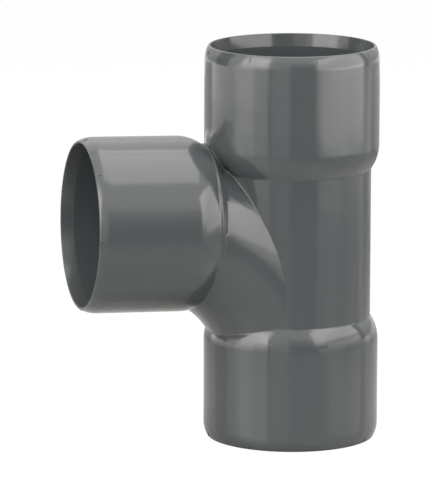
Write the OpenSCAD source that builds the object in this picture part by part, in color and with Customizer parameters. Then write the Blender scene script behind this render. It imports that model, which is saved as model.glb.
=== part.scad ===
// Swept tee for solvent-welded drainage pipe: one moulded body with three plain sockets.
// The origin is the centre of the lower mouth. +Z runs up the run, and the branch leaves towards -X.

/* [Pipe] */
// Outside diameter of the pipe that the sockets take
pipe_od = 40; // [38:1:41]
// Gap on each side between the pipe and the socket's wall
pipe_gap = 0.1; // [0.05:0.05:0.2]

/* [Sockets] */
// Depth of each socket, from its mouth to the ledge that stops the pipe
socket_depth = 27; // [22:0.5:30]
// Wall of the sockets
socket_wall = 2; // [2:0.6:2.6]
// Width of the ledge that stops the pipe
stop_ledge = 2; // [1.9:0.1:2.2]
// Radius of the rounded shoulder, where a socket narrows to the body, as a share of the socket's radius
shoulder_share = 0.475; // [0.465:0.005:0.475]
// Distance from the ledge back to where the shoulder starts, on the mouth side of it
shoulder_before_stop = 2.1; // [1.9:0.1:2.3]
// Radius of the hollow fillet between a shoulder and the body beyond it
shoulder_fillet = 0.8; // [0.6:0.1:0.9]

/* [Mouths] */
// Radius of the wide round that eases the outer edge of each mouth
rim_ease_r = 7; // [6:0.5:8]
// Depth below each mouth over which its outer edge is eased
rim_ease_depth = 3.6; // [2.8:0.1:3.6]
// Depth of the tapered lead-in inside each mouth
lead_in_depth = 3.3; // [2:0.1:5]
// How much wider than the socket the lead-in is at the mouth, on the radius
lead_in_widen = 0.5; // [0.3:0.05:0.6]

/* [Run] */
// Height of the upper mouth above the crossing of the axes
upper_reach = 45; // [42:0.5:60]
// Depth of the lower mouth below the crossing of the axes
lower_reach = 55; // [52:0.5:65]
// Wall of the run between its sockets
body_wall = 2; // [1.8:0.1:2.6]

/* [Branch] */
// Distance of the branch's mouth from the crossing of the axes
branch_reach = 55; // [52:0.5:65]
// Angle between the branch and the upper half of the run
branch_angle = 88.5; // [87:0.5:90]
// Length of the branch's round neck, between its shoulder and the slope into the sweep
neck_len = 0.5; // [0.2:0.1:1.5]
// Slope of the neck's end, down into the sweep
neck_slope = 54; // [45:1:60]

/* [Sweep] */
// Bend radius of the swept throat, on its centre line
sweep_r = 38; // [36:0.5:42]
// Outside diameter of the swept throat
sweep_od = 38; // [37:0.25:38.75]
// Wall of the swept throat
sweep_wall = 2.2; // [2:0.1:2.6]

/* [Alignment marks] */
// Number of marks round each mouth
mark_count = 8; // [4:1:12]
// Width of a mark
mark_w = 0.35; // [0.2:0.05:0.6]
// Length of a mark, measured down from the mouth
mark_len = 1.7; // [1.2:0.1:3]
// Height of a mark above the socket's outside
mark_h = 0.15; // [0.1:0.05:0.3]

/* [Hidden] */
$fn = 96;
plastic = [0.42, 0.43, 0.43];
// The hollows run this far past the mouths, so that they open them cleanly
past_mouth = 1;
// The marks start this far below the mouth, so that the rim's face stays flat
mark_start = 0.2;
// Share of a radius by which the neck's slopes fall, which ends them inside the sweep
neck_fall_share = 1 / 3;

// Radii of the sockets, the run and the sweep
bore_r = pipe_od / 2 + pipe_gap;
socket_r = bore_r + socket_wall;
waterway_r = bore_r - stop_ledge;
body_r = waterway_r + body_wall;
shoulder_r = shoulder_share * socket_r;
sweep_tube_r = sweep_od / 2;
sweep_bore_r = sweep_tube_r - sweep_wall;

// Height at which the axes cross, and half the length of the run
crossing_z = lower_reach;
run_middle = (lower_reach + upper_reach) / 2;
// Distance from the crossing to where the bend's centre line leaves either axis
sweep_tangent = sweep_r * tan(branch_angle / 2);

// The shoulder is a round of shoulder_r that starts full size at this distance from the mouth
shoulder_from_mouth = socket_depth - shoulder_before_stop;
shoulder_mid_r = socket_r - shoulder_r;
// Along the axis, from the shoulder's start to the fillet's centre, and the fillet's centre radius
fillet_mid_r = body_r + shoulder_fillet;
fillet_drop = sqrt(pow(shoulder_r + shoulder_fillet, 2) - pow(fillet_mid_r - shoulder_mid_r, 2));
// Share of the line between the two centres at which the fillet meets the shoulder
fillet_share = shoulder_r / (shoulder_r + shoulder_fillet);

// Depths at which the branch's neck and its waterway start to slope into the sweep
neck_end = shoulder_from_mouth + fillet_drop + neck_len;
waterway_slope_from = neck_end - body_wall * tan(neck_slope / 2);

// Angle that a mark takes up round its mouth
mark_angle = mark_w / socket_r * 180 / PI;

// Outline of a closed socket, drawn as radius against distance down from the mouth
module socket_outline() {
    square([socket_r - rim_ease_r, rim_ease_depth]);
    translate([0, rim_ease_depth])
        square([socket_r, shoulder_from_mouth - rim_ease_depth]);
    intersection() {
        translate([socket_r - rim_ease_r, 0])
            square([rim_ease_r, rim_ease_depth]);
        translate([socket_r - rim_ease_r, rim_ease_depth])
            circle(r = rim_ease_r);
    }
    translate([shoulder_mid_r, shoulder_from_mouth])
        circle(r = shoulder_r);
    translate([0, shoulder_from_mouth])
        square([shoulder_mid_r, shoulder_r]);
}

// Hollow fillet between a shoulder and the body beyond it, in the same coordinates
module fillet_outline() {
    centre = [fillet_mid_r, shoulder_from_mouth + fillet_drop];
    on_body = [body_r, centre.y];
    on_shoulder = [shoulder_mid_r + fillet_share * (fillet_mid_r - shoulder_mid_r),
                   shoulder_from_mouth + fillet_share * fillet_drop];
    difference() {
        polygon([centre, on_body, [shoulder_mid_r, centre.y],
                 [shoulder_mid_r, shoulder_from_mouth], on_shoulder]);
        translate(centre)
            circle(r = shoulder_fillet);
    }
}

// Outline of the hollow in a socket: lead-in, socket bore and the waterway past the ledge
module socket_hollow_outline(waterway_end) {
    polygon([[0, -past_mouth],
             [bore_r + lead_in_widen, -past_mouth],
             [bore_r + lead_in_widen, 0],
             [bore_r, lead_in_depth],
             [bore_r, socket_depth],
             [waterway_r, socket_depth],
             [waterway_r, waterway_end],
             [0, waterway_end]]);
}

// Round stub of radius r that goes on beyond a shoulder, in the same coordinates
module stub_outline(r, end) {
    translate([0, shoulder_from_mouth])
        square([r, end - shoulder_from_mouth]);
}

// Round stub of radius r that starts to slope inwards at the given depth, in the same coordinates
module sloped_stub_outline(r, slope_from) {
    fall = r * neck_fall_share;
    slope_to = slope_from + fall / tan(neck_slope);
    polygon([[0, shoulder_from_mouth],
             [r, shoulder_from_mouth],
             [r, slope_from],
             [r - fall, slope_to],
             [0, slope_to]]);
}

// Section of a mark: it follows the mouth's eased edge, mark_h above the surface
module mark_outline() {
    intersection() {
        translate([socket_r - socket_wall, mark_start])
            square([socket_wall * 2, mark_len - mark_start]);
        translate([socket_r - rim_ease_r, rim_ease_depth])
            circle(r = rim_ease_r + mark_h);
    }
}

// Turns an outline of radius against depth into a solid whose mouth faces +Z at the origin
module turn() {
    rotate([180, 0, 0])
        rotate_extrude()
            children();
}

// Puts a socket's solid at each end of the run and on the branch
module at_upper_mouth() {
    translate([0, 0, crossing_z + upper_reach])
        children();
}

module at_lower_mouth() {
    rotate([180, 0, 0])
        children();
}

module at_branch_mouth() {
    translate([0, 0, crossing_z])
        rotate([0, -branch_angle, 0])
            translate([0, 0, branch_reach])
                children();
}

// Solid bend of radius tube_r, from the run's axis below the crossing up to the branch's axis
module bend(tube_r) {
    translate([-sweep_r, 0, crossing_z - sweep_tangent])
        rotate([90, 0, 0])
            rotate_extrude(angle = branch_angle)
                translate([sweep_r, 0])
                    circle(r = tube_r);
}

// Small raised marks round a mouth, one of them in the plane of the axes
module marks() {
    rotate([180, 0, 0])
        for (i = [0 : mark_count - 1])
            rotate([0, 0, i * 360 / mark_count - mark_angle / 2])
                rotate_extrude(angle = mark_angle)
                    mark_outline();
}

// Socket with its shoulder, fillet and marks, still solid. Its child outline goes on beyond the shoulder.
module socket() {
    turn() {
        socket_outline();
        fillet_outline();
        children();
    }
    marks();
}

// The outside of the body, still solid
module outside() {
    at_upper_mouth()
        socket()
            stub_outline(body_r, run_middle);
    at_lower_mouth()
        socket()
            stub_outline(body_r, run_middle);
    at_branch_mouth()
        socket()
            sloped_stub_outline(body_r, neck_end);
    bend(sweep_tube_r);
}

// The waterway and the three sockets
module inside() {
    at_upper_mouth()
        turn()
            socket_hollow_outline(run_middle);
    at_lower_mouth()
        turn()
            socket_hollow_outline(run_middle);
    at_branch_mouth()
        turn() {
            socket_hollow_outline(waterway_slope_from);
            sloped_stub_outline(waterway_r, waterway_slope_from);
        }
    bend(sweep_bore_r);
}

module tee_body() {
    color(plastic)
        difference() {
            outside();
            inside();
        }
}

tee_body();
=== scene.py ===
import math

import bpy
import numpy as np
from mathutils import Matrix, Vector


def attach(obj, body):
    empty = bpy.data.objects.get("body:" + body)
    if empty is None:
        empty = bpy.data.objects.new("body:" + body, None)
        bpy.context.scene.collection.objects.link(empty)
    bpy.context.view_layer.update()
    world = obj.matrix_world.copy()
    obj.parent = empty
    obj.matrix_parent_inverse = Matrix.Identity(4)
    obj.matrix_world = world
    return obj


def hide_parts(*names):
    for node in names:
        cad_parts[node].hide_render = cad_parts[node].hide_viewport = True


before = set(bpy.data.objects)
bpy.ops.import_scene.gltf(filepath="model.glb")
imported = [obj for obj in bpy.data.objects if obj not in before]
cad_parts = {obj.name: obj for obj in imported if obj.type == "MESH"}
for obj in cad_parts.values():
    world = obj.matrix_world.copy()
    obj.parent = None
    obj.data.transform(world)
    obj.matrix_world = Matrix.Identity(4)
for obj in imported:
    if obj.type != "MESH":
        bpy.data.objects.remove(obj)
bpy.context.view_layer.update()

# Lengths are in millimetres, measured from where the axes of the run and the branch cross.
# The finished mesh is in metres, measured from the centre of the lower mouth.
TO_METRES = 0.001

# Sockets, the same at all three mouths
BORE_R = 20.1
SOCKET_R = 22.1
WATERWAY_R = 18.1
BODY_R = 20.1
SOCKET_DEPTH = 27.0
LEAD_IN_DEPTH = 3.3
LEAD_IN_WIDEN = 0.5
RIM_EASE_R = 7.0
RIM_EASE_DEPTH = 3.6
SHOULDER_R = 10.5
SHOULDER_DEPTH = 24.9
SHOULDER_FILLET = 0.8
WATERWAY_START = 27.6

# Small rounds of a socket's edges, and the angle by which the rim's wide round stops short of the
# mouth, which leaves room for the edge's own round
RIM_EDGE = 0.25
MOULD_EDGE = 0.15
LEAD_IN_EDGE = 1.0
LEDGE_EDGE = 0.25
RIM_EASE_TRIM = 0.025

# Reach of each mouth from the crossing
UPPER_REACH = 45.0
LOWER_REACH = 55.0
BRANCH_REACH = 55.0
BRANCH_ANGLE = math.radians(88.5)

# Sweep and the neck that joins it to the branch's shoulder
SWEEP_R = 38.0
SWEEP_TUBE_R = 19.0
SWEEP_BORE_R = 16.8
NECK_LENGTH = 0.5
NECK_SLOPE = math.radians(54.0)
NECK_EDGE = 0.3
NECK_FILLET = 0.4
RIDGE_FILLET = 0.4
INNER_FILLET = 0.6

# Alignment marks. Each is a shell that reaches into the wall, down to MARK_ROOT_R. Its height is a
# share of MARK_H from row to row down from the mouth, and from side to side across its width.
MARK_COUNT = 8
MARK_W = 0.35
MARK_START = 0.2
MARK_LEN = 1.7
MARK_H = 0.15
MARK_ROOT_R = BORE_R + 0.8
MARK_ROOT_DEPTH = 0.9
MARK_RISE = np.array([-0.1, 0.55, 1.0, 1.0, 1.0, 0.7, -0.1])
MARK_SPREAD = np.array([-1.0, -0.75, -0.35, 0.35, 0.75, 1.0])
MARK_LIFT = np.array([-0.35, 0.75, 1.0, 1.0, 0.75, -0.35])

UP = np.array([0.0, 0.0, 1.0])
ACROSS = np.array([0.0, 1.0, 0.0])
ALONG_X = np.array([1.0, 0.0, 0.0])
OUT = np.array([-math.sin(BRANCH_ANGLE), 0.0, math.cos(BRANCH_ANGLE)])
BRANCH_TOP = np.array([math.cos(BRANCH_ANGLE), 0.0, math.sin(BRANCH_ANGLE)])
SWEEP_TANGENT = SWEEP_R * math.tan(BRANCH_ANGLE / 2)
BEND_CENTRE = np.array([-SWEEP_R, 0.0, -SWEEP_TANGENT])

# Where the shoulder's round, its fillet and the body meet, along the axis from the shoulder's start
SHOULDER_MID_R = SOCKET_R - SHOULDER_R
FILLET_MID_R = BODY_R + SHOULDER_FILLET
FILLET_END = math.sqrt((SHOULDER_R + SHOULDER_FILLET) ** 2 - (FILLET_MID_R - SHOULDER_MID_R) ** 2)
FILLET_START = FILLET_END * SHOULDER_R / (SHOULDER_R + SHOULDER_FILLET)

# Columns of faces round the run. Its wall has a hole towards the branch, HOLE_HALF columns to
# either side and HOLE_ROWS high. The hole's border has as many steps as the loops of the branch.
RUN_STEPS = 192
BRANCH_COLUMN = RUN_STEPS // 2
HOLE_HALF = 44
HOLE_ROWS = 72
HOLE_CENTRE = np.array([math.pi, -4.0])
LOOP_STEPS = 2 * (2 * HOLE_HALF + HOLE_ROWS)
ROUND_RUN = np.arange(RUN_STEPS) * 2 * math.pi / RUN_STEPS
ROUND_BRANCH = -2 * math.pi * (np.arange(LOOP_STEPS) - HOLE_HALF) / LOOP_STEPS

# Rows of faces over the neck, the shoulder's fillet and the branch's shoulder, and inside the neck
NECK_ROWS = 4
FILLET_ROWS = 4
SHOULDER_ROWS = 12
INNER_NECK_ROWS = 5

# Searches for the seam and the crease, and for the places of points on a blended surface
SEAM_TRIALS = 120
SEAM_HALVINGS = 40
CREASE_TRIALS = 160
CREASE_LIMITS = (0.1, 0.97)
CREASE_SMOOTHINGS = 60
SETTLE_ROUNDS = 12
SETTLE_STEP = 0.9
SETTLE_MIN_SLOPE = 0.2
TINY = 1e-12
MIN_BLEND = 1e-6

# Spacing of the rows next to the seam, the crease and the neck's end, share of the sweep's rows
# that lie before the crease, and how much longer the sweep is than a straight line
SEAM_STEP = 0.12
CREASE_STEP = 0.1
NECK_STEP = 0.15
ROWS_BEFORE_CREASE = 0.6
SWEEP_BOW = 1.05

# How far the columns at the neck's end are moved from where they start at the seam to even places
NECK_EVENING = 0.2

# Points are welded where they are in the same step of a grid with this many steps to a millimetre
WELD_STEPS = 2000


# ---------------------------------------------------------------- surfaces as distances and normals
def unit(v):
    return v / np.maximum(np.linalg.norm(v, axis=-1, keepdims=True), TINY)


def shoulder_outline(along):
    """Radius of a socket's outside and its rate of change, this far from the shoulder's start."""
    a = np.asarray(along, float)
    on_round = np.clip(a, 0, FILLET_START)
    on_fillet = np.clip(a, FILLET_START, FILLET_END)
    root = np.sqrt(SHOULDER_R ** 2 - on_round ** 2)
    gap = FILLET_END - on_fillet
    fillet_root = np.sqrt(SHOULDER_FILLET ** 2 - gap ** 2)
    radius = np.where(a <= FILLET_START, SHOULDER_MID_R + root, FILLET_MID_R - fillet_root)
    rate = np.where(a <= FILLET_START, -on_round / root, -gap / fillet_root)
    rate = np.where((a <= 0) | (a >= FILLET_END), 0.0, rate)
    return radius, rate


def plain_outline(along):
    """The same for the waterway, which has one radius all along."""
    a = np.asarray(along, float)
    return np.full(a.shape, WATERWAY_R), np.zeros(a.shape)


def soft_union(one, two, round_r):
    """Two (distance, normal) pairs joined by a fillet that follows the angle between them."""
    (d1, n1), (d2, n2) = one, two
    cosine = np.clip((n1 * n2).sum(-1), -1, 1)
    reach = 4 * round_r * (1 - np.sqrt((1 + cosine) / 2)) + MIN_BLEND
    share = np.clip(0.5 + 0.5 * (d2 - d1) / reach, 0, 1)
    distance = d2 + (d1 - d2) * share - reach * share * (1 - share)
    return distance, unit(n2 + (n1 - n2) * share[..., None])


def soft_overlap(one, two, round_r):
    d, n = soft_union((-one[0], -one[1]), (-two[0], -two[1]), round_r)
    return -d, -n


class Skin:
    """One side of the fitting's wall, outside or inside, between its three sockets.

    Its surfaces take points, and give their distances from it and the normals there.
    """

    def __init__(self, outline, from_mouth, neck_r, neck_end, tube_r, neck_fillet, ridge_fillet):
        self.outline = outline
        self.top = UPPER_REACH - from_mouth
        self.bottom = -LOWER_REACH + from_mouth
        self.ring = BRANCH_REACH - from_mouth
        self.slope_at = BRANCH_REACH - neck_end
        self.neck_r, self.tube_r = neck_r, tube_r
        self.neck_fillet, self.ridge_fillet = neck_fillet, ridge_fillet

    def run_radius(self, z):
        high = z > (self.top + self.bottom) / 2
        radius, rate = self.outline(np.where(high, self.top - z, z - self.bottom))
        return radius, np.where(high, -rate, rate)

    def on_run(self, place):
        """Points on the run's wall at these angles and heights."""
        angle, z = place[..., 0], place[..., 1]
        radius = self.run_radius(z)[0]
        return np.stack([radius * np.cos(angle), radius * np.sin(angle), z], -1)

    def run(self, p):
        flat = p * (1, 1, 0)
        radius, rate = self.run_radius(p[..., 2])
        slant = np.sqrt(1 + rate ** 2)
        normal = (unit(flat) - rate[..., None] * UP) / slant[..., None]
        return (np.linalg.norm(flat, axis=-1) - radius) / slant, normal

    def neck(self, p):
        s = p @ OUT
        off = p - s[..., None] * OUT
        away, reach = unit(off), np.linalg.norm(off, axis=-1)
        radius, rate = self.outline(self.ring - s)
        slant = np.sqrt(1 + rate ** 2)
        round_part = ((reach - radius) / slant, (away + rate[..., None] * OUT) / slant[..., None])
        along_slope = (self.slope_at - s) * math.sin(NECK_SLOPE)
        slope_part = ((reach - self.neck_r) * math.cos(NECK_SLOPE) + along_slope,
                      away * math.cos(NECK_SLOPE) - OUT * math.sin(NECK_SLOPE))
        return soft_overlap(round_part, slope_part, NECK_EDGE)

    def tube(self, p):
        rel = p - BEND_CENTRE
        flat = rel * (1, 0, 1)
        swing = np.linalg.norm(flat, axis=-1)
        off = unit(flat) * (swing - SWEEP_R)[..., None] + rel * (0, 1, 0)
        return np.linalg.norm(off, axis=-1) - self.tube_r, unit(off)

    def branch(self, p):
        return soft_union(self.neck(p), self.tube(p), self.neck_fillet)

    def whole(self, p):
        return soft_union(self.run(p), self.branch(p), self.ridge_fillet)

    def settle(self, p, surface, direction=None):
        """Points moved onto a surface, along its normals or along the given directions."""
        for _ in range(SETTLE_ROUNDS):
            d, n = surface(p)
            if direction is None:
                p = p - SETTLE_STEP * d[..., None] * n
            else:
                slope = np.maximum((n * direction).sum(-1), SETTLE_MIN_SLOPE)
                p = p - (d / slope)[..., None] * direction
        return p

    def neck_loop(self, s, around):
        """Loop of points round the branch, this far out, at these angles from its top."""
        away = np.cos(around)[:, None] * BRANCH_TOP + np.sin(around)[:, None] * ACROSS
        start = s * OUT + away * self.outline(np.array(self.ring - s))[0]
        return self.settle(start, self.branch, away)


def bend_place(loop):
    """Turn round the bend, angle round the tube and distance from its centre line, of a loop."""
    rel = loop - BEND_CENTRE
    swing = np.hypot(rel[..., 0], rel[..., 2])
    around = np.unwrap(np.arctan2(rel[..., 1], swing - SWEEP_R))
    around += 2 * math.pi * np.round((ROUND_BRANCH - around).mean() / (2 * math.pi))
    return (np.arctan2(rel[..., 2], rel[..., 0]), around,
            np.hypot(swing - SWEEP_R, rel[..., 1]))


def on_bend(turn, around, r):
    swing = SWEEP_R + r * np.cos(around)
    return BEND_CENTRE + np.stack([swing * np.cos(turn), r * np.sin(around),
                                   swing * np.sin(turn)], -1)


# ---------------------------------------------------------------- patches of the mesh
class Patches:
    """Collects grids of points with their normals, and welds them into one mesh."""

    def __init__(self):
        self.points, self.normals, self.quads, self.count = [], [], [], 0

    def add(self, p, n, closed=True):
        rows, cols = p.shape[:2]
        index = np.arange(rows * cols).reshape(rows, cols) + self.count
        right = np.roll(index, -1, 1) if closed else index[:, 1:]
        left = index if closed else index[:, :-1]
        quads = np.stack([left[:-1], right[:-1], right[1:], left[1:]], -1).reshape(-1, 4)
        flat_p, flat_n = p.reshape(-1, 3), n.reshape(-1, 3)
        corner = flat_p[quads - self.count]
        facing = np.cross(corner[:, 2] - corner[:, 0], corner[:, 3] - corner[:, 1])
        if (facing * flat_n[quads[:, 0] - self.count]).sum() < 0:
            quads = quads[:, ::-1]
        self.points.append(flat_p)
        self.normals.append(flat_n)
        self.quads.append(quads)
        self.count += rows * cols

    def turn_over(self, first):
        """Makes the patches from the first one on face the other way."""
        for i in range(first, len(self.quads)):
            self.quads[i] = self.quads[i][:, ::-1]
            self.normals[i] = -self.normals[i]

    def weld(self):
        p, n, q = [np.concatenate(part) for part in (self.points, self.normals, self.quads)]
        key = np.round(p * WELD_STEPS).astype(np.int64)
        _, first, same = np.unique(key, axis=0, return_index=True, return_inverse=True)
        same = same.reshape(-1)
        total = np.zeros((len(first), 3))
        np.add.at(total, same, n)
        return p[first], unit(total), same[q]


def eased(length, first, steps):
    """Places from 0 to 1 that start with a step of about first and grow."""
    t = np.linspace(0, 1, steps + 1)
    power = np.maximum(1.0, np.log(np.maximum(length / first, 1.0)) / math.log(steps))
    return t[:, None] ** power[None, :]


def both_ends(length, first, last, steps):
    """Places from 0 to 1 that start and end with small steps."""
    half = steps // 2
    near = 0.5 * eased(length / 2, first, half)
    far = 1 - 0.5 * eased(length / 2, last, half)[::-1]
    return np.concatenate([near, far[1:]])


def run_levels(skin, shoulder_rows, fillet_rows):
    """Heights of the rows of the run, close together on the shoulders if it has any."""
    if not shoulder_rows:
        return np.linspace(skin.bottom, skin.top, HOLE_ROWS + 1)
    ease = np.concatenate([np.linspace(0, FILLET_START, shoulder_rows, endpoint=False),
                           np.linspace(FILLET_START, FILLET_END, fillet_rows + 1)])
    middle = HOLE_ROWS - 2 * (shoulder_rows + fillet_rows)
    low, high = skin.bottom + ease, skin.top - ease[::-1]
    return np.concatenate([low, np.linspace(low[-1], high[0], middle + 1)[1:-1], high])


def hole_border(levels):
    """Angles and heights along the hole's border, from its upper corner on the +Y side."""
    across = np.arange(BRANCH_COLUMN - HOLE_HALF, BRANCH_COLUMN + HOLE_HALF + 1)
    sides = [(ROUND_RUN[across[:-1]], levels[-1]),
             (ROUND_RUN[across[-1]], levels[:0:-1]),
             (ROUND_RUN[across[:0:-1]], levels[0]),
             (ROUND_RUN[across[0]], levels[:-1])]
    return np.concatenate([np.stack(np.broadcast_arrays(*side), -1) for side in sides])


def find_seam(skin, border):
    """Angles and heights at which lines from the hole's centre to its border leave the branch."""
    shares = np.linspace(0, 1, SEAM_TRIALS + 1)[:, None, None]
    depth = skin.branch(skin.on_run(HOLE_CENTRE + shares * (border - HOLE_CENTRE)))[0]
    last = SEAM_TRIALS - np.argmax((depth < 0)[::-1], axis=0)
    low, high = shares[last, 0, 0], shares[np.minimum(last + 1, SEAM_TRIALS), 0, 0]
    for _ in range(SEAM_HALVINGS):
        middle = (low + high) / 2
        place = HOLE_CENTRE + middle[:, None] * (border - HOLE_CENTRE)
        inside = skin.branch(skin.on_run(place))[0] < 0
        low, high = np.where(inside, middle, low), np.where(inside, high, middle)
    return HOLE_CENTRE + low[:, None] * (border - HOLE_CENTRE)


def find_crease(skin, between):
    """Share of the way from the seam at which the sweep runs into the neck's slope."""
    trial = np.linspace(0, 1, CREASE_TRIALS + 1)[:, None]
    turn, around, _ = between(trial)
    in_neck = skin.neck(on_bend(turn, around, skin.tube_r))[0] < 0
    crease = np.clip(trial[np.argmax(in_neck, axis=0), 0], *CREASE_LIMITS)
    crease = np.where(in_neck.any(axis=0), crease, CREASE_LIMITS[1])
    for _ in range(CREASE_SMOOTHINGS):
        crease = (np.roll(crease, 1) + 2 * crease + np.roll(crease, -1)) / 4
    return crease


def junction(patches, skin, neck_rows, shoulder_rows, fillet_rows, run_rings, sweep_rows):
    """The wall between the sockets: the run with its hole, the swept tube and the branch's neck."""
    levels = run_levels(skin, shoulder_rows, fillet_rows)

    # The run's wall away from the hole
    first, last = BRANCH_COLUMN + HOLE_HALF, BRANCH_COLUMN - HOLE_HALF + RUN_STEPS
    columns = ROUND_RUN[np.arange(first, last + 1) % RUN_STEPS]
    wall = skin.on_run(np.stack(np.broadcast_arrays(columns, levels[:, None]), -1))
    patches.add(wall, skin.run(wall)[1], closed=False)

    # Rings over the run, from the seam where the branch meets it out to the hole's border
    border = hole_border(levels)
    seam_place = find_seam(skin, border)
    seam = skin.on_run(seam_place)
    length = np.linalg.norm(skin.on_run(border) - seam, axis=1)
    share = eased(length, SEAM_STEP, run_rings)[..., None]
    rings = skin.on_run(seam_place + share * (border - seam_place))
    rings[:-1] = skin.settle(rings[:-1], skin.whole)
    patches.add(rings, skin.whole(rings)[1])

    # Rows along the sweep, from the seam out to the end of the neck. They lie close together on
    # both sides of the crease where the sweep runs into the neck's slope.
    seam_bend = bend_place(seam)
    neck_around = (1 - NECK_EVENING) * seam_bend[1] + NECK_EVENING * ROUND_BRANCH
    neck_end = skin.neck_loop(skin.slope_at, neck_around)
    neck_bend = bend_place(neck_end)
    length = np.linalg.norm(neck_end - seam, axis=1) * SWEEP_BOW

    def between(share):
        return [a + share * (b - a) for a, b in zip(seam_bend, neck_bend)]

    crease = find_crease(skin, between)
    rows_before = round(sweep_rows * ROWS_BEFORE_CREASE)
    rows_after = sweep_rows - rows_before
    before = both_ends(length * crease, SEAM_STEP, CREASE_STEP, rows_before)
    after = both_ends(length * (1 - crease), CREASE_STEP, NECK_STEP, rows_after)[1:]
    share = np.concatenate([crease * before, crease + (1 - crease) * after])
    tube = skin.settle(on_bend(*between(share)), skin.whole)
    tube[0] = rings[0]
    tube[-1] = neck_end
    patches.add(tube, skin.whole(tube)[1])

    # Rows from the end of the neck over the shoulder to the socket
    rows = skin.ring - neck_rows
    t = (rows - rows[0]) / (rows[-1] - rows[0])
    ease = t * t * (3 - 2 * t)
    neck = np.stack([skin.neck_loop(s, neck_around + e * (ROUND_BRANCH - neck_around))
                     for s, e in zip(rows, ease)])
    patches.add(neck, skin.branch(neck)[1])


def side_normal(v):
    v = v / np.linalg.norm(v)
    return np.array([-v[1], v[0]])


def corner_arcs(corners):
    """Points and normals of the arc at each corner (radius, depth, rounding, steps of its arc)."""
    pts = [np.array(c[:2], float) for c in corners]
    arcs = [(pts[0][None], side_normal(pts[1] - pts[0])[None])]
    for i in range(1, len(corners) - 1):
        rounding, steps = corners[i][2:]
        into, onward = unit(pts[i] - pts[i - 1]), unit(pts[i + 1] - pts[i])
        turn = math.atan2(into[0] * onward[1] - into[1] * onward[0], float(into @ onward))
        to_middle = math.copysign(rounding, turn)
        start = pts[i] - into * (rounding * math.tan(abs(turn) / 2))
        middle = start + side_normal(into) * to_middle
        angle = np.linspace(0, turn, steps + 1)
        x, y = side_normal(into)
        normals = np.stack([x * np.cos(angle) - y * np.sin(angle),
                            x * np.sin(angle) + y * np.cos(angle)], -1)
        arcs.append((middle - normals * to_middle, normals))
    arcs.append((pts[-1][None], side_normal(pts[-1] - pts[-2])[None]))
    return arcs


def socket_outline():
    """Section of a socket from the shoulder's start, over the rim and down to the waterway."""
    slant = math.asin(RIM_EASE_DEPTH / RIM_EASE_R) - RIM_EASE_TRIM
    bend_depth = RIM_EASE_DEPTH - RIM_EASE_R * math.tan(slant / 2)
    arcs = corner_arcs([(SOCKET_R, SHOULDER_DEPTH, 0, 0),
                        (SOCKET_R, bend_depth, RIM_EASE_R, 12),
                        (SOCKET_R - bend_depth * math.tan(slant), 0, RIM_EDGE, 5),
                        (BORE_R + LEAD_IN_WIDEN, 0, MOULD_EDGE, 4),
                        (BORE_R, LEAD_IN_DEPTH, LEAD_IN_EDGE, 2),
                        (BORE_R, SOCKET_DEPTH, MOULD_EDGE, 3),
                        (WATERWAY_R, SOCKET_DEPTH, LEDGE_EDGE, 4),
                        (WATERWAY_R, WATERWAY_START, 0, 0)])
    rows_between_arcs = (4, 1, 1, 2, 4, 1, 1)
    points, normals = [arcs[0][0]], [arcs[0][1]]
    for rows, (arc, _), (next_arc, next_normals) in zip(rows_between_arcs, arcs, arcs[1:]):
        t = np.linspace(0, 1, rows + 1)[1:-1, None]
        points += [arc[-1] + t * (next_arc[0] - arc[-1]), next_arc]
        normals += [np.repeat(next_normals[:1], len(t), 0), next_normals]
    return np.concatenate(points), np.concatenate(normals)


def turned(outline, normals, mouth, axis, first, angles):
    """An outline of radius and depth, turned about a socket's axis."""
    ring = np.cos(angles)[:, None] * first + np.sin(angles)[:, None] * ACROSS
    p = mouth + outline[:, None, :1] * ring - outline[:, None, 1:] * axis
    n = normals[:, None, :1] * ring - normals[:, None, 1:] * axis
    return p, n


def mark_sides(mouth, axis, first):
    """Outer and inner sides of the small raised marks on a mouth's eased edge."""
    depth = np.linspace(MARK_START, MARK_LEN, len(MARK_RISE))
    lean = (depth - RIM_EASE_DEPTH) / RIM_EASE_R
    level = np.sqrt(1 - lean ** 2)
    radius = SOCKET_R - RIM_EASE_R * (1 - level)
    height = MARK_H * np.minimum(MARK_RISE[:, None], MARK_LIFT)
    r = radius[:, None] + level[:, None] * height
    d = depth[:, None] + lean[:, None] * height
    root_depth = np.maximum(depth, MARK_ROOT_DEPTH)[:, None, None]
    for k in range(MARK_COUNT):
        angles = 2 * math.pi * k / MARK_COUNT + MARK_SPREAD * MARK_W / 2 / SOCKET_R
        ring = np.cos(angles)[:, None] * first + np.sin(angles)[:, None] * ACROSS
        outer = mouth + r[..., None] * ring - d[..., None] * axis
        inner = mouth + MARK_ROOT_R * ring - root_depth * axis
        yield outer, inner


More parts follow.
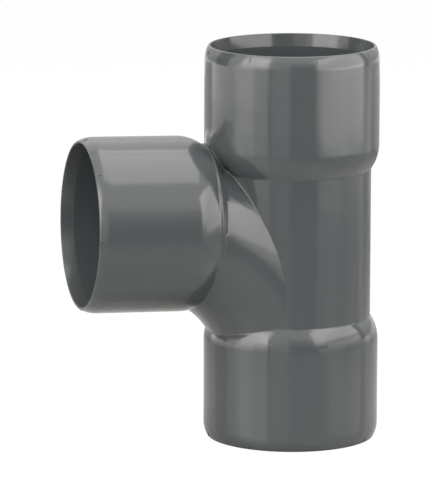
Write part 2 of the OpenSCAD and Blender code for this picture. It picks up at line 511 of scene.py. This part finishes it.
def mark_shell(outer, inner, base):
    """Points, normals and faces of a mark, with its points numbered from base.

    The inner side is hidden in the wall. Its faces are wound the wrong way round, and its first
    rows coincide, because no point of it lies above MARK_ROOT_DEPTH.
    """
    outward = outer - inner
    normals = unit(np.cross(np.gradient(outer, axis=0), np.gradient(outer, axis=1)))
    normals *= np.sign((normals * outward).sum(-1, keepdims=True))
    rows, cols = outer.shape[:2]
    index = np.arange(rows * cols).reshape(rows, cols) + base
    a, b = index.tolist(), (index + rows * cols).tolist()
    cells = [(i, j) for i in range(rows - 1) for j in range(cols - 1)]
    lid = [[a[i][j], a[i][j + 1], a[i + 1][j + 1], a[i + 1][j]] for i, j in cells]
    rest = ([[b[i][j], b[i + 1][j], b[i + 1][j + 1], b[i][j + 1]] for i, j in cells]
            + [[a[0][j], a[0][j + 1], b[0][j + 1], b[0][j]] for j in range(cols - 1)]
            + [[a[-1][j + 1], a[-1][j], b[-1][j], b[-1][j + 1]] for j in range(cols - 1)]
            + [[a[i + 1][0], a[i][0], b[i][0], b[i + 1][0]] for i in range(rows - 1)]
            + [[a[i][-1], a[i + 1][-1], b[i + 1][-1], b[i][-1]] for i in range(rows - 1)])
    facing = np.cross(outer[1, 1] - outer[0, 0], outer[1, 0] - outer[0, 1])
    if facing @ outward[0, 0] > 0:
        rest = [face[::-1] for face in rest]
    else:
        lid = [face[::-1] for face in lid]
    points = np.concatenate([outer.reshape(-1, 3), inner.reshape(-1, 3)])
    normals = np.concatenate([normals.reshape(-1, 3), -unit(outward).reshape(-1, 3)])
    return points.tolist(), normals.tolist(), lid + rest


def fitting_mesh():
    """Points, normals and faces of the whole fitting."""
    patches = Patches()
    outline, outline_normals = socket_outline()
    mouths = [(UPPER_REACH * UP, UP, ALONG_X, ROUND_RUN),
              (-LOWER_REACH * UP, -UP, ALONG_X, ROUND_RUN),
              (BRANCH_REACH * OUT, OUT, BRANCH_TOP, ROUND_BRANCH)]
    for mouth, axis, first, angles in mouths:
        patches.add(*turned(outline, outline_normals, mouth, axis, first, angles))

    neck_end = SHOULDER_DEPTH + FILLET_END + NECK_LENGTH
    outside = Skin(shoulder_outline, from_mouth=SHOULDER_DEPTH, neck_r=BODY_R, neck_end=neck_end,
                   tube_r=SWEEP_TUBE_R, neck_fillet=NECK_FILLET, ridge_fillet=RIDGE_FILLET)
    neck_rows = np.concatenate([
        np.linspace(FILLET_END + NECK_LENGTH, FILLET_END, NECK_ROWS, endpoint=False),
        np.linspace(FILLET_END, FILLET_START, FILLET_ROWS, endpoint=False),
        np.linspace(FILLET_START, 0, SHOULDER_ROWS + 1)])
    junction(patches, outside, neck_rows,
             shoulder_rows=9, fillet_rows=FILLET_ROWS, run_rings=22, sweep_rows=50)

    # At the bottom of the branch the sweep's bore reaches up to 1 mm past the waterway's ring that
    # it should meet, so the mesh is open there, just behind the ledge
    neck_end -= (BODY_R - WATERWAY_R) * math.tan(NECK_SLOPE / 2)
    inside = Skin(plain_outline, from_mouth=WATERWAY_START, neck_r=WATERWAY_R, neck_end=neck_end,
                  tube_r=SWEEP_BORE_R, neck_fillet=INNER_FILLET, ridge_fillet=INNER_FILLET)
    neck_rows = np.linspace(neck_end - WATERWAY_START, 0, INNER_NECK_ROWS + 1)
    first_inside = len(patches.quads)
    junction(patches, inside, neck_rows,
             shoulder_rows=0, fillet_rows=0, run_rings=14, sweep_rows=20)
    patches.turn_over(first_inside)

    points, normals, faces = [part.tolist() for part in patches.weld()]
    for mouth, axis, first, _ in mouths:
        for outer, inner in mark_sides(mouth, axis, first):
            mark_points, mark_normals, mark_faces = mark_shell(outer, inner, len(points))
            points += mark_points
            normals += mark_normals
            faces += mark_faces
    return np.array(points), np.array(normals), faces


def add_object(name, data):
    """A new object in the scene."""
    added = bpy.data.objects.new(name, data)
    bpy.context.scene.collection.objects.link(added)
    return added


def make_fitting():
    points, normals, faces = fitting_mesh()
    points = (points + LOWER_REACH * UP) * TO_METRES
    mesh = bpy.data.meshes.new("swept_tee")
    mesh.from_pydata(points.tolist(), [], faces)
    mesh.polygons.foreach_set("use_smooth", [True] * len(mesh.polygons))
    mesh.update()
    mesh.normals_split_custom_set_from_vertices(normals.tolist())
    return add_object("swept_tee", mesh)


# ---------------------------------------------------------------- materials
WHITE = (1, 1, 1, 1)
DARKER_GREY = (0.053, 0.0575, 0.063, 1)
LIGHTER_GREY = (0.060, 0.0645, 0.070, 1)


def empty_tree(owner):
    """The node tree of a material or of the world, with nothing in it."""
    owner.use_nodes = True
    owner.node_tree.nodes.clear()
    return owner.node_tree


def put(tree, kind, **values):
    """A node with its settings; a key that names an input sets that input."""
    node = tree.nodes.new(kind)
    for key, value in values.items():
        if hasattr(node, key):
            setattr(node, key, value)
        else:
            node.inputs[key.replace("_", " ")].default_value = value
    return node


def noise(tree, place, **values):
    node = put(tree, "ShaderNodeTexNoise", **values)
    tree.links.new(place.outputs["Object"], node.inputs["Vector"])
    return node.outputs["Fac"]


def map_range(tree, value, **values):
    node = put(tree, "ShaderNodeMapRange", **values)
    tree.links.new(value, node.inputs["Value"])
    return node.outputs["Result"]


def bump(tree, height, **values):
    node = put(tree, "ShaderNodeBump", **values)
    tree.links.new(height, node.inputs["Height"])
    return node


def show(tree, output_kind, to_camera, to_others):
    """Ends a tree with one shader for the camera's own rays, and another for all others."""
    path = put(tree, "ShaderNodeLightPath")
    mix = put(tree, "ShaderNodeMixShader")
    output = put(tree, output_kind)
    tree.links.new(path.outputs["Is Camera Ray"], mix.inputs["Fac"])
    tree.links.new(to_others, mix.inputs[1])
    tree.links.new(to_camera, mix.inputs[2])
    tree.links.new(mix.outputs["Shader"], output.inputs["Surface"])


def grey_plastic():
    """Unpainted grey moulded plastic with a gloss skin."""
    material = bpy.data.materials.new("grey_plastic")
    tree = empty_tree(material)
    link = tree.links.new
    place = put(tree, "ShaderNodeTexCoord")
    surface = put(tree, "ShaderNodeBsdfPrincipled", IOR=1.53)
    output = put(tree, "ShaderNodeOutputMaterial")
    link(surface.outputs["BSDF"], output.inputs["Surface"])

    # Pigment is a little uneven over a few centimetres, and faintly speckled
    cloud = noise(tree, place, Scale=38.0, Detail=3.0, Roughness=0.55)
    speck = noise(tree, place, Scale=2600.0, Detail=2.0, Roughness=0.6)
    tone = put(tree, "ShaderNodeMix", data_type="FLOAT", Factor=0.25)
    link(cloud, tone.inputs["A"])
    link(speck, tone.inputs["B"])
    ramp = put(tree, "ShaderNodeValToRGB")
    darker, lighter = ramp.color_ramp.elements
    darker.position, darker.color = 0.3, DARKER_GREY
    lighter.position, lighter.color = 0.7, LIGHTER_GREY
    link(tone.outputs["Result"], ramp.inputs["Fac"])
    link(ramp.outputs["Color"], surface.inputs["Base Color"])

    # The gloss is a little duller in patches
    gloss = map_range(tree, cloud, From_Min=0.3, From_Max=0.7, To_Min=0.12, To_Max=0.17)
    link(gloss, surface.inputs["Roughness"])

    # Slow waves in the moulded skin, short ripples in some patches of it, and a very fine grain
    wave = noise(tree, place, Scale=110.0, Detail=1.5, Roughness=0.45)
    slow = bump(tree, wave, Strength=0.2, Distance=0.0004)
    ripple = noise(tree, place, Scale=300.0, Detail=1.5, Roughness=0.5)
    patch = map_range(tree, cloud, From_Min=0.4, From_Max=0.55, To_Min=0.3, To_Max=0.04)
    short = bump(tree, ripple, Distance=0.0002)
    link(patch, short.inputs["Strength"])
    link(slow.outputs["Normal"], short.inputs["Normal"])
    grain = noise(tree, place, Scale=1500.0, Detail=1.0, Roughness=0.5)
    fine = bump(tree, grain, Strength=0.06, Distance=0.00003)
    link(short.outputs["Normal"], fine.inputs["Normal"])
    link(fine.outputs["Normal"], surface.inputs["Normal"])
    return material


def floor_material():
    """White board: plain white to the camera, and to the fitting a gloss whose colour darkens
    outwards, a painted fall-off of light.
    """
    material = bpy.data.materials.new("pale_floor")
    tree = empty_tree(material)
    link = tree.links.new
    board = put(tree, "ShaderNodeBsdfPrincipled", Roughness=0.1, IOR=1.5)
    place = put(tree, "ShaderNodeTexCoord")
    away = put(tree, "ShaderNodeVectorMath", operation="LENGTH")
    link(place.outputs["Object"], away.inputs[0])
    # Painted light: the board's colour is brightest next to the fitting and darkens outwards, so
    # its reflections in the fitting dim with distance.
    painted_falloff = map_range(tree, away.outputs["Value"],
                      From_Min=0.05, From_Max=0.30, To_Min=0.46, To_Max=0.09)
    link(painted_falloff, board.inputs["Base Color"])
    plain = put(tree, "ShaderNodeBsdfDiffuse", Color=(0.05, 0.05, 0.05, 1))
    glow = put(tree, "ShaderNodeEmission", Color=WHITE, Strength=0.95)
    seen = put(tree, "ShaderNodeAddShader")
    link(plain.outputs["BSDF"], seen.inputs[0])
    link(glow.outputs["Emission"], seen.inputs[1])
    show(tree, "ShaderNodeOutputMaterial",
         to_camera=seen.outputs["Shader"], to_others=board.outputs["BSDF"])
    return material


fitting = make_fitting()
fitting.data.materials.append(grey_plastic())
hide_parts("tee_body")
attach(fitting, "root")

# ---------------------------------------------------------------- floor, camera and light
# In metres, from the centre of the lower mouth. The floor lies just below it.
FLOOR_SIZE = 12
FLOOR_HEIGHT = -0.0001
CAMERA_PLACE = Vector((-0.32342790, -1.11287099, 0.26907607))
CAMERA_AIM = Vector((-0.01858186, 0.00413969, 0.05024508))
CAMERA_ROLL = math.radians(0.1614)
LENS = 388.288
SENSOR_WIDTH = 36.0
CLIP_END = 30.0

bpy.ops.mesh.primitive_plane_add(size=FLOOR_SIZE, location=(0, 0, FLOOR_HEIGHT))
floor = bpy.context.object
floor.name = "floor"
floor.data.materials.append(floor_material())

camera = add_object("camera", bpy.data.cameras.new("camera"))
camera.data.sensor_fit = "HORIZONTAL"
camera.data.sensor_width = SENSOR_WIDTH
camera.data.lens = LENS
camera.data.clip_end = CLIP_END
aim = (CAMERA_AIM - CAMERA_PLACE).to_track_quat("-Z", "Y").to_matrix().to_4x4()
roll = Matrix.Rotation(CAMERA_ROLL, 4, "Z")
camera.matrix_world = Matrix.Translation(CAMERA_PLACE) @ aim @ roll
bpy.context.scene.camera = camera

# Level directions as seen in the photograph
TOWARDS_CAMERA = Vector((-0.27904, -0.96028, 0.0))
TO_THE_RIGHT = Vector((0.96028, -0.27904, 0.0))
LIGHT_COLOUR = (1.0, 0.99, 0.94)

# Upright boxes: name, azimuth in degrees to the right of the camera, distance from the origin,
# width, height of the lower and upper edge, and radiance
STANDING_BOXES = [
    ("right_box", 67, 0.15, 0.218, 0.08, 0.216, 3.5),
    ("right_box_low", 67, 0.15, 0.218, 0.052, 0.08, 1.6),
    ("right_far", 57, 0.36, 0.25, 0.0, 0.046, 1.15),
    ("right_far_high", 77, 0.36, 0.367, 0.046, 0.10, 1.6),
    ("right_far_back", 101, 0.36, 0.32, 0.0, 0.046, 0.8),
    ("left_box", -50, 0.51, 0.37, 0.0, 0.68, 2.0),
    ("left_box_middle", -50, 0.505, 0.38, 0.08, 0.58, 1.5),
    ("left_box_centre", -51, 0.50, 0.36, 0.18, 0.46, 2.0),
    ("left_band", -44, 0.495, 0.42, 0.155, 0.185, 1.6),
    ("left_strip", -64, 0.50, 0.24, 0.0, 0.15, 1.1),
    ("left_card", -99, 0.52, 0.576, 0.0, 0.05, 1.9),
    ("left_side", -80, 0.52, 0.184, 0.05, 0.55, 1.7),
    ("front_card", -14, 0.52, 0.22, 0.0, 0.30, 0.85),
    ("back_low", 180, 0.59, 2.4, 0.0, 0.06, 0.6),
    ("back_card", 180, 0.60, 2.4, 0.0, 0.16, 0.5),
    ("back_card_middle", 180, 0.60, 2.4, 0.16, 0.35, 0.8),
    ("back_card_high", 180, 0.60, 2.4, 0.35, 1.10, 1.3),
]

# Boxes overhead: name, place (right, towards the camera, up), width and depth, radiance times area,
# and the point on the floor that they face
OVERHEAD_BOXES = [
    ("top_box", (0.12, -0.11, 0.85), (0.88, 0.54), 0.9975, (0.0, 0.1, 0.0)),
    ("top_surround", (0.10, 0.18, 0.90), (1.6, 1.6), 2.304, (0.16, 0.2, 0.0)),
    ("top_wide", (0.10, 0.22, 0.91), (2.2, 2.2), 2.42, (0.16, 0.2, 0.0)),
]


def softbox(name, place, size, flux, aim_at):
    """A soft rectangular light; flux is its radiance times its area."""
    light = bpy.data.lights.new(name, "AREA")
    light.shape = "RECTANGLE"
    light.size, light.size_y = size
    light.energy = math.pi * flux
    light.color = LIGHT_COLOUR
    box = add_object(name, light)
    right, toward, up = place
    box.location = TO_THE_RIGHT * right + TOWARDS_CAMERA * toward + Vector((0, 0, up))
    box.rotation_euler = (Vector(aim_at) - box.location).to_track_quat("-Z", "Y").to_euler()
    box.visible_camera = False


def studio_world():
    """White to the camera, and a dim room to all other rays."""
    world = bpy.data.worlds.new("studio")
    tree = empty_tree(world)
    seen = put(tree, "ShaderNodeBackground", Color=WHITE, Strength=1.0)
    room = put(tree, "ShaderNodeBackground", Color=WHITE, Strength=0.15)
    show(tree, "ShaderNodeOutputWorld",
         to_camera=seen.outputs["Background"], to_others=room.outputs["Background"])
    return world


for name, azimuth, distance, width, low, high, radiance in STANDING_BOXES:
    a, middle = math.radians(azimuth), (low + high) / 2
    place = (distance * math.sin(a), distance * math.cos(a), middle)
    size = (width, high - low)
    softbox(name, place, size, radiance * width * (high - low), (0.0, 0.0, middle))
for name, place, size, flux, aim_at in OVERHEAD_BOXES:
    softbox(name, place, size, flux, aim_at)

bpy.context.scene.world = studio_world()
bpy.context.scene.view_settings.view_transform = "Standard"
bpy.context.scene.view_settings.look = "None"
